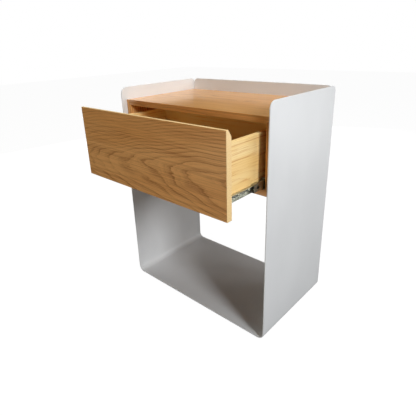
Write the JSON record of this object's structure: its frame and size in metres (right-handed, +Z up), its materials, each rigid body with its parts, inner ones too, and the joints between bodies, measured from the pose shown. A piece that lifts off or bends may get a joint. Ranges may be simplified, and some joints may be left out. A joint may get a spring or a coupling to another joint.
{
  "type": "bedside table",
  "caption": "Bedside table: a bent sheet-steel shell open front and back, carrying an oak box with a drawer on ball-bearing slides above an open shelf.",
  "frame": {"origin": "on the floor, at the middle of the bounding box with the drawer drawn out 132 mm", "axes": "+Z up, -Y towards the front, where the drawer opens, +X to the right seen from the front"},
  "size_m": [0.5, 0.432, 0.61],
  "materials": {
    "white_coat": "fine satin powder coat",
    "oak": "oiled oak veneer, satin",
    "pine": "pale softwood, clear lacquer",
    "zinc": "zinc plated",
    "bright_steel": "bright steel",
    "screw": "yellow zinc plated",
    "nylon": "moulded, matt"
  },
  "bodies": {
    "cabinet": {"back_plate": "white_coat", "back_screw_lower_left": "zinc", "back_screw_lower_right": "zinc", "back_screw_upper_left": "zinc", "back_screw_upper_right": "zinc", "box_back": "pine", "box_bottom": "oak", "box_left": "oak", "box_right": "oak", "box_slide_screw_front_left": "screw", "box_slide_screw_front_right": "screw", "box_slide_screw_rear_left": "screw", "box_slide_screw_rear_right": "screw", "box_top": "oak", "glide_front_left": "nylon", "glide_front_right": "nylon", "glide_rear_left": "nylon", "glide_rear_right": "nylon", "nut_front_left": "zinc", "nut_front_right": "zinc", "nut_rear_left": "zinc", "nut_rear_right": "zinc", "slide_outer_left": "zinc", "slide_outer_right": "zinc", "steel_shell": "white_coat", "stud_front_left": "zinc", "stud_front_right": "zinc", "stud_rear_left": "zinc", "stud_rear_right": "zinc"},
    "drawer": {"drawer_back": "pine", "drawer_bottom": "pine", "drawer_front": "oak", "drawer_inner_front": "pine", "drawer_side_left": "pine", "drawer_side_right": "pine", "drawer_slide_screw_1_left": "screw", "drawer_slide_screw_1_right": "screw", "drawer_slide_screw_2_left": "screw", "drawer_slide_screw_2_right": "screw", "drawer_slide_screw_3_left": "screw", "drawer_slide_screw_3_right": "screw", "drawer_slide_screw_4_left": "screw", "drawer_slide_screw_4_right": "screw", "front_screw_lower_left": "zinc", "front_screw_lower_right": "zinc", "front_screw_upper_left": "zinc", "front_screw_upper_right": "zinc", "slide_inner_left": "zinc", "slide_inner_right": "zinc"},
    "middle_rail_left": {"slide_middle_left": "zinc"},
    "outer_balls_left": {"ball_cage_outer_left": "bright_steel"},
    "inner_balls_left": {"ball_cage_inner_left": "bright_steel"},
    "middle_rail_right": {"slide_middle_right": "zinc"},
    "outer_balls_right": {"ball_cage_outer_right": "bright_steel"},
    "inner_balls_right": {"ball_cage_inner_right": "bright_steel"}
  },
  "joints": [
    {"name": "drawer_slide", "type": "slide", "parent": "cabinet", "child": "drawer", "axis": [0, -1, 0], "range_m": [-0.132, 0.118]},
    {"name": "middle_rail_left_slide", "type": "slide", "parent": "cabinet", "child": "middle_rail_left", "axis": [0, -1, 0], "range_m": [-0.066, 0.059]},
    {"name": "outer_balls_left_slide", "type": "slide", "parent": "cabinet", "child": "outer_balls_left", "axis": [0, -1, 0], "range_m": [-0.033, 0.0295]},
    {"name": "inner_balls_left_slide", "type": "slide", "parent": "cabinet", "child": "inner_balls_left", "axis": [0, -1, 0], "range_m": [-0.099, 0.0885]},
    {"name": "middle_rail_right_slide", "type": "slide", "parent": "cabinet", "child": "middle_rail_right", "axis": [0, -1, 0], "range_m": [-0.066, 0.059]},
    {"name": "outer_balls_right_slide", "type": "slide", "parent": "cabinet", "child": "outer_balls_right", "axis": [0, -1, 0], "range_m": [-0.033, 0.0295]},
    {"name": "inner_balls_right_slide", "type": "slide", "parent": "cabinet", "child": "inner_balls_right", "axis": [0, -1, 0], "range_m": [-0.099, 0.0885]}
  ],
  "couplings": [
    {"joint": "middle_rail_left_slide", "follows": "drawer_slide", "ratio": 0.5},
    {"joint": "outer_balls_left_slide", "follows": "drawer_slide", "ratio": 0.25},
    {"joint": "inner_balls_left_slide", "follows": "drawer_slide", "ratio": 0.75},
    {"joint": "middle_rail_right_slide", "follows": "drawer_slide", "ratio": 0.5},
    {"joint": "outer_balls_right_slide", "follows": "drawer_slide", "ratio": 0.25},
    {"joint": "inner_balls_right_slide", "follows": "drawer_slide", "ratio": 0.75}
  ]
}
